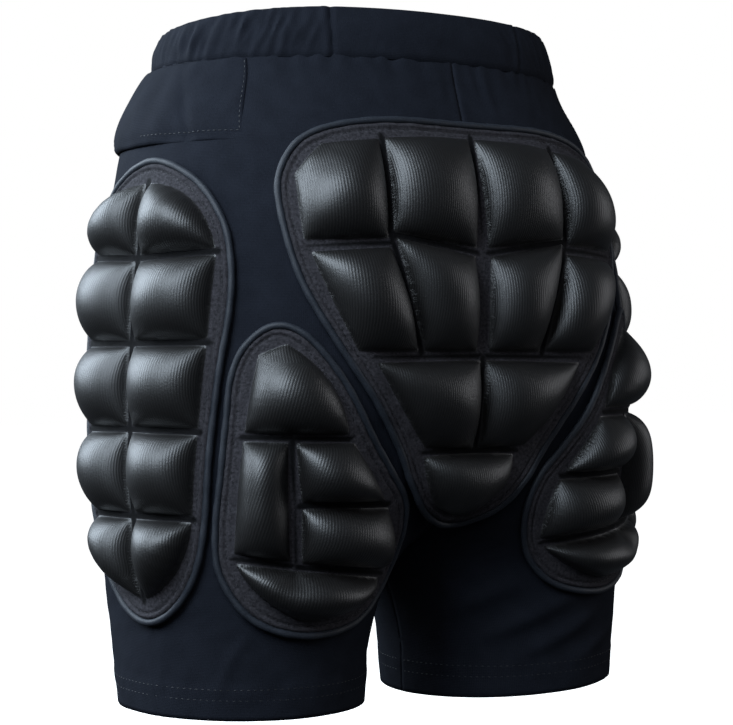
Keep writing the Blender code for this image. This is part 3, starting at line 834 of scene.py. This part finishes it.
def waistband(material):
    """The elastic band, gathered round the sides and smooth at the back."""
    bm, across_share, down_share = cut_grid(560, 22)
    band_map = BodyMap("centre", -0.45, 0.45)
    up = 1 - down_share
    z = SEAM_Z + 0.0001 + up * (BAND_HEIGHT - 0.0001)
    way_round = across_share * 2 - 1
    z -= up * FRONT_DIP * np.sin(np.clip((np.abs(way_round) - 0.2) / 0.5, 0, 1) * math.pi / 2) ** 2
    levels = np.linspace(SEAM_Z, TOP_ABOVE_ORIGIN, 40)
    halves = [section_row(float(v), CLOTH_BRIDGING)[1][-1] for v in levels]
    across = way_round * np.interp(z, levels, halves)
    gathered = 1 - np.clip(1 - np.abs(across - 0.012) / 0.085, 0, 1) ** 0.25
    gathered = np.clip(gathered, 0.12, 1)
    leaning = across + 0.5 * (z - SEAM_Z) * np.sign(across)
    ridges = smooth_noise(leaning, z * 0.25, 0.010, 31)
    ridges = ridges + 0.5 * smooth_noise(leaning, z * 0.3, 0.0055, 32)
    uneven = 0.75 + 0.4 * smooth_noise(across, z, 0.034, 33)
    ridges *= uneven + 0.7 * ridge(across - 0.100, 0.022)
    lift = 0.0010 * gathered * ridges * np.sin(np.pi * np.clip(up, 0.06, 0.94)) ** 0.5
    lift += 0.0004 + 0.0018 * np.sin(np.pi * np.clip(up, 0, 1)) ** 0.85
    for seam, width, depth in ((0.076, 0.0014, 0.0014), (-0.057, 0.0014, 0.0010)):
        from_seam = across - seam + 0.0015 * up
        lift -= depth * ridge(from_seam, width)
        lift += depth * 0.5 * ridge(from_seam - 0.004, 0.002)
    lift -= 0.0010 * ridge(up, 0.05)
    lay_cloth(bm, band_map.place(across, z, lift), np.stack([across, z], axis=1))
    bmesh.ops.remove_doubles(bm, verts=[v for v in bm.verts if v.co.y < 0], dist=0.0002)
    piece, area = cloth_piece("waistband_cloth", bm, material, BAND_THICKNESS)
    rim = piece.modifiers.new("folded_edge", "BEVEL")
    rim.width = 0.0011
    rim.segments = 3
    rim.limit_method = "ANGLE"
    rim.angle_limit = math.radians(50)
    return piece, area


def pocket_form(side, share, seed):
    """Flat places of a pocket's cloth and how far it stands off the body there. Side runs from
    -1 at its back end to 1, share from 0 at the seam to 1 at its lower edge."""
    across = side * POCKET_HALF_WIDTH + np.clip(-side, 0, 1) ** 2 * 0.019 * (1 - share)
    depth = POCKET_DEPTH - 0.0045 + 0.0010 * np.clip(1 + side, 0, 1)
    z = SEAM_Z - 0.0004 - share * depth
    belly = 0.85 * POCKET_BELLY * np.sin(np.pi * 0.85 * share**0.7) ** 0.8
    belly *= np.clip(np.cos((side - 0.3) * 1.25), 0, 1) ** 1.5 * (1 - np.clip(side, 0, 1) ** 4)
    lift = POCKET_GAP + belly
    lift += 0.0008 * smooth_noise(across, z * 0.5, 0.030, seed) * (0.2 + 0.8 * share)
    lift += 0.0005 * smooth_noise(across, z * 0.1, 0.010, seed + 1) * np.exp(-share / 0.18)
    lift -= 0.0011 * ridge(across - 0.6 * (z + 0.03) + 0.03, 0.0035) * share
    edge = np.minimum((1 - np.abs(side)) * POCKET_HALF_WIDTH, (1 - share) * depth)
    lift -= 0.0009 * np.exp(-edge / 0.0022)
    lift -= 0.0002 * ridge(edge - POCKET_STITCHES_IN, 0.0006)
    return across, z, lift


def side_pocket(name, side_map, material, mirrored, seed):
    """A pocket cloth hung from the waistband's seam, its lower edge standing off the body."""
    bm, across_share, down_share = cut_grid(110, 40)
    share = np.minimum(down_share / 0.9, 1)
    turned_in = np.clip((down_share - 0.9) / 0.1, 0, 1) * math.pi / 2
    across, z, lift = pocket_form(across_share * 2 - 1, share, seed)
    z = z - 0.0030 * np.sin(turned_in)
    lift = 0.0003 + (lift - 0.0003) * np.cos(turned_in)
    lay_cloth(bm, side_map.place(across, z, lift, mirrored), np.stack([across, z], axis=1))
    return cloth_piece(name, bm, material, POCKET_CLOTH)


# Finishes


class Finish:
    """A material in the making, and the nodes that its patterns are made with."""

    def __init__(self, name, roughness, specular=None):
        self.material = bpy.data.materials.new(name)
        self.material.use_nodes = True
        self.nodes = self.material.node_tree.nodes
        self.links = self.material.node_tree.links
        self.shader = self.nodes["Principled BSDF"].inputs
        self.shader["Roughness"].default_value = roughness
        if specular is not None:
            self.shader["Specular IOR Level"].default_value = specular

    def join(self, socket, value):
        """Sets a socket to a number, or links another node's output to it."""
        if isinstance(value, (int, float)):
            socket.default_value = value
        else:
            self.links.new(value, socket)

    def add(self, kind, **inputs):
        node = self.nodes.new(kind)
        for name, value in inputs.items():
            self.join(node.inputs[name], value)
        return node

    def maths(self, operation, *values):
        node = self.nodes.new("ShaderNodeMath")
        node.operation = operation
        for socket, value in zip(node.inputs, values):
            self.join(socket, value)
        return node.outputs[0]

    def weave(self):
        """The cloth's flat place, then its parts across and up."""
        uv = self.nodes.new("ShaderNodeUVMap")
        uv.uv_map = "weave"
        parts = self.add("ShaderNodeSeparateXYZ", Vector=uv.outputs[0])
        return uv.outputs[0], parts.outputs[0], parts.outputs[1]

    def noise(self, vector, scale, detail, rough=0.5):
        node = self.add("ShaderNodeTexNoise", Vector=vector, Scale=scale, Detail=detail, Roughness=rough)
        return node.outputs["Fac"]

    def ripple(self, along, period):
        """A smooth wave between 0 and 1, with that period in metres."""
        wave = self.maths("SINE", self.maths("MULTIPLY", along, 2 * math.pi / period))
        return self.maths("MULTIPLY_ADD", wave, 0.5, 0.5)

    def shades(self, factor, *stops):
        ramp = self.nodes.new("ShaderNodeValToRGB")
        for element, (place, colour) in zip(ramp.color_ramp.elements, stops):
            element.position = place
            element.color = (*colour, 1)
        self.links.new(factor, ramp.inputs[0])
        return ramp.outputs[0]

    def bump(self, height, distance, strength):
        node = self.add("ShaderNodeBump", Distance=distance, Strength=strength, Height=height)
        self.links.new(node.outputs[0], self.shader["Normal"])


def jersey():
    """Matte blue-black jersey: fine wales and courses, and a faint mottle."""
    cloth = Finish("jersey", 0.82, 0.04)
    where, across, up = cloth.weave()
    loops = cloth.maths("MULTIPLY", cloth.ripple(across, 0.0011), cloth.ripple(up, 0.0009))
    grain = cloth.noise(where, 900, 3)
    mottle = cloth.maths("MULTIPLY", cloth.noise(where, 70, 2), 0.4)
    tone = cloth.maths("ADD", cloth.maths("MULTIPLY", grain, 0.6), mottle)
    colour = cloth.shades(tone, (0.30, (0.0062, 0.0073, 0.0106)), (0.70, (0.0110, 0.0129, 0.0184)))
    cloth.join(cloth.shader["Base Color"], colour)
    cloth.bump(cloth.maths("MULTIPLY_ADD", grain, 0.8, loops), 0.00012, 0.6)
    return cloth.material


def quilt_cover():
    """Black ribbed warp knit with a satin face, drawn tight over the cushions."""
    cover = Finish("quilt_cover", 0.46, 0.58)
    where, across, _ = cover.weave()
    wandering = cover.maths("MULTIPLY_ADD", cover.noise(where, 150, 2), 0.0004, across)
    ribs = cover.ripple(wandering, 0.0015)
    grain = cover.noise(where, 900, 3, 0.65)
    face = cover.maths("MULTIPLY_ADD", ribs, 0.45, cover.maths("MULTIPLY", grain, 0.55))
    satin = cover.shades(face, (0.20, (0.0016, 0.0015, 0.0015)), (0.80, (0.0086, 0.0079, 0.0077)))
    cover.join(cover.shader["Base Color"], satin)
    relief = cover.maths("MULTIPLY_ADD", ribs, 0.8, cover.maths("MULTIPLY", grain, 1.5))
    cover.bump(relief, 0.00015, 0.55)
    return cover.material


def quilt_margin():
    """The same knit pressed flat: dull and heathered, with painted shade that darkens the channels between
    cells.
    """
    margin = Finish("quilt_margin", 0.85, 0.12)
    heather = margin.noise(margin.weave()[0], 620, 4, 0.7)
    pressed = margin.shades(
        heather, (0.35, (0.0100, 0.0098, 0.0116)), (0.66, (0.0400, 0.0380, 0.0440))
    )
    # Painted shade: a near-black colour mixed in where the channel mask is set, standing in for the shade
    # down between cushions
    painted_channel_shade = margin.nodes.new("ShaderNodeAttribute")
    painted_channel_shade.attribute_name = "painted_channel_shade"
    painted_shade_colour = margin.nodes.new("ShaderNodeRGB")
    painted_shade_colour.outputs[0].default_value = (0.0009, 0.0009, 0.0011, 1)
    mix = margin.nodes.new("ShaderNodeMix")
    mix.data_type = "RGBA"
    margin.join(mix.inputs["Factor"], margin.maths("MULTIPLY", painted_channel_shade.outputs["Fac"], 0.94))
    margin.join(mix.inputs["A"], pressed)
    margin.join(mix.inputs["B"], painted_shade_colour.outputs[0])
    margin.join(margin.shader["Base Color"], mix.outputs["Result"])
    margin.bump(heather, 0.00020, 0.6)
    return margin.material


def binding_tape():
    """Dark blue-grey rolled tape with a fine cross grain."""
    rolled = Finish("binding_tape", 0.58, 0.30)
    coords = rolled.nodes.new("ShaderNodeTexCoord")
    grain = rolled.noise(coords.outputs["Object"], 1300, 3)
    colour = rolled.shades(grain, (0.30, (0.0070, 0.0088, 0.0125)), (0.72, (0.0190, 0.0230, 0.0310)))
    rolled.join(rolled.shader["Base Color"], colour)
    rolled.bump(grain, 0.00015, 0.7)
    return rolled.material


def thread():
    """Matte black sewing thread."""
    sewing = Finish("thread", 0.6)
    coords = sewing.nodes.new("ShaderNodeTexCoord")
    twist = sewing.noise(coords.outputs["Object"], 2500, 1)
    colour = sewing.shades(twist, (0.3, (0.0015, 0.0018, 0.0026)), (0.7, (0.0060, 0.0070, 0.0100)))
    sewing.join(sewing.shader["Base Color"], colour)
    return sewing.material


def thread_piece(name, bm, material, slot):
    bmesh.ops.recalc_face_normals(bm, faces=bm.faces)
    finished(name, bm, slot, material)


def hem_stitches(bm, mirrored):
    """Two rows of stitches round a leg's hem."""
    half_map = BodyMap("centre", 0, 0.62)
    for up in HEM_STITCHES_UP:
        z = HEM_Z + up
        girth = section_row(z, CLOTH_BRIDGING)[1][-1]
        across = np.linspace(0.002, girth - 0.002, 160)
        level = np.full(160, z)
        lift = fold_lift(across * (-1 if mirrored else 1), level) + 0.0001
        points = half_map.place(across, level, lift, mirrored)
        normals = half_map.place(across, level, lift + 0.001, mirrored) - points
        points[:, 2] -= hem_drop(across / girth, z, mirrored)
        stitch_row(bm, points, normals, HEM_STITCH, HEM_STITCH_GAP)


def pocket_stitches(bm, side_map, mirrored, seed):
    """A row of stitches along a pocket's lower edge and one up its back end."""
    end = POCKET_STITCHES_IN / POCKET_HALF_WIDTH - 1
    foot = 1 - POCKET_STITCHES_IN / POCKET_DEPTH
    for side, share in ((np.linspace(end, -0.1, 60), foot), (end, np.linspace(0.02, foot, 40))):
        side, share = np.broadcast_arrays(side, share)
        across, z, lift = pocket_form(side.astype(float), share.astype(float), seed)
        stitches_on(bm, side_map, np.column_stack([across, z]), lift + 0.0001, mirrored)


def build():
    knit, covers, rolled, sewing = jersey(), (quilt_cover(), quilt_margin()), binding_tape(), thread()
    sheets = []
    for side, mirrored, _ in SIDES:
        cloth, area = shorts_half("shorts_cloth_" + side, knit, mirrored)
        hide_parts("back_panel_" + side, "front_panel_" + side)
        sheets.append((cloth, area, (0.53, 0.38), "stretched"))
    band, area = waistband(knit)
    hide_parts("waistband")
    sheets.append((band, area, (0.75, 0.030), "gathered"))
    side_map = BodyMap("side", -0.16, 0.16)
    for side, mirrored, seed in SIDES:
        pocket, area = side_pocket("pocket_cloth_" + side, side_map, knit, mirrored, seed)
        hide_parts("side_pocket_" + side)
        sheets.append((pocket, area, (0.165, 0.050), "hung"))

    forms = {
        # map, outline, cells, then half width, height, top and how far across they are moved
        "tail": (
            BodyMap("centre", -0.14, 0.14, PAD_BRIDGING), both_sides(TAIL_OUTLINE),
            [TIP_CELL] + with_mirrored(TAIL_CELLS.values()), TAIL_HALF_WIDTH, TAIL_HEIGHT, TAIL_TOP,
        ),
        "hip": (
            side_map, both_sides(HIP_OUTLINE), with_mirrored(HIP_CELLS.values()),
            HIP_PAD_HALF_WIDTH, HIP_PAD_HEIGHT, HIP_PAD_TOP, -SIDE_SEAM_BACK,
        ),
        "thigh": (
            BodyMap("leg", -0.11, 0.13), THIGH_OUTLINE, THIGH_CELLS.values(),
            THIGH_PAD_REACH, THIGH_PAD_HEIGHT, THIGH_PAD_TOP,
        ),
    }
    for name, mirrored, (out, up), seed in PADS:
        kind = name.split("_")[0]
        side = name[len(kind) :]
        body_map, corners, cells, *sizes = forms[kind]
        outline = [p + Vector((out, up)) for p in closed_curve(placed(corners, *sizes), 0.004)]
        cells = [[(x + out, y + up, bow) for x, y, bow in placed(cell, *sizes)] for cell in cells]
        piece = pad(name + "_quilt", body_map, outline, cells, covers, mirrored, seed)
        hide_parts(kind + "_pad" + side)
        rolled_edge = tape(name + "_rolled_edge", body_map, outline, rolled, mirrored)
        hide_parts(kind + "_binding" + side)
        bm = bmesh.new()
        line = even_ring(
            drawn_in(even_ring(outline, 0.003), MARGIN_GROOVE_IN + EDGE_UNDER_TAPE), 0.002
        )
        groove = LAYER_GAP + MARGIN_THICKNESS - 0.0008
        stitches_on(bm, body_map, [p[:] for p in line + line[:1]], groove, mirrored)
        thread_piece(name + "_edge_stitches", bm, sewing, "binding")

    seams = bmesh.new()
    for _, mirrored, seed in SIDES:
        hem_stitches(seams, mirrored)
        pocket_stitches(seams, side_map, mirrored, seed)
    thread_piece("seam_stitches", seams, sewing, "knit")
    for piece, area, flat, held in sheets:
        area = min(area, flat[0] * flat[1])


def aimed(name, data, azimuth, elevation, distance):
    """A light or camera that far from the middle, in that direction, and looking at it."""
    a, e = math.radians(azimuth), math.radians(elevation)
    away = Vector((math.sin(a) * math.cos(e), -math.cos(a) * math.cos(e), math.sin(e)))
    thing = in_scene(name, data)
    thing.location = MIDDLE + away * distance
    thing.rotation_euler = (MIDDLE - thing.location).to_track_quat("-Z", "Y").to_euler()
    return thing


def studio():
    """A pale floor well below, a white backdrop, large soft lights from the left of the view
    and weak ones from behind the camera and from the right."""
    bm = bmesh.new()
    bmesh.ops.create_grid(bm, x_segments=1, y_segments=1, size=12)
    bmesh.ops.translate(bm, verts=bm.verts, vec=(0, 0, FLOOR_Z))
    floor = in_scene("floor", mesh_of("floor", bm))
    pale = Finish("pale_floor", 0.9)
    pale.shader["Base Color"].default_value = (0.9, 0.9, 0.9, 1)
    pale.shader["Emission Color"].default_value = (1, 1, 1, 1)
    pale.shader["Emission Strength"].default_value = 1.0
    floor.data.materials.append(pale.material)
    floor.visible_diffuse = False
    floor.visible_glossy = False

    world = bpy.data.worlds.new("studio")
    bpy.context.scene.world = world
    world.use_nodes = True
    nodes, links = world.node_tree.nodes, world.node_tree.links
    dim, white = nodes["Background"], nodes.new("ShaderNodeBackground")
    for background, colour, strength in ((dim, (0.75, 0.85, 1.0, 1), AMBIENT), (white, (1, 1, 1, 1), 1.0)):
        background.inputs["Color"].default_value = colour
        background.inputs["Strength"].default_value = strength
    path = nodes.new("ShaderNodeLightPath")
    mix = nodes.new("ShaderNodeMixShader")
    seen = (path.outputs["Is Camera Ray"], dim.outputs[0], white.outputs[0])
    for output, socket in zip(seen, mix.inputs):
        links.new(output, socket)
    links.new(mix.outputs[0], nodes["World Output"].inputs["Surface"])
    for name, azimuth, elevation, distance, size, power, colour in LIGHTS:
        lamp = bpy.data.lights.new(name, "AREA")
        lamp.shape = "RECTANGLE"
        lamp.size, lamp.size_y = size
        lamp.energy = power
        lamp.color = colour
        light = aimed(name, lamp, azimuth, elevation, distance)
        light.visible_glossy = name != "front"


def camera():
    data = bpy.data.cameras.new("camera")
    data.sensor_width = 36
    data.lens = FOCAL_PIXELS / PICTURE_WIDTH * data.sensor_width
    data.shift_x = (PICTURE_WIDTH / 2 - MIDDLE_IN_PICTURE) / PICTURE_WIDTH
    data.clip_start = 0.05
    bpy.context.scene.camera = aimed("camera", data, CAMERA_AZIMUTH, 0, CAMERA_DISTANCE)


bpy.context.scene.view_settings.view_transform = "Standard"
camera()
studio()
build()
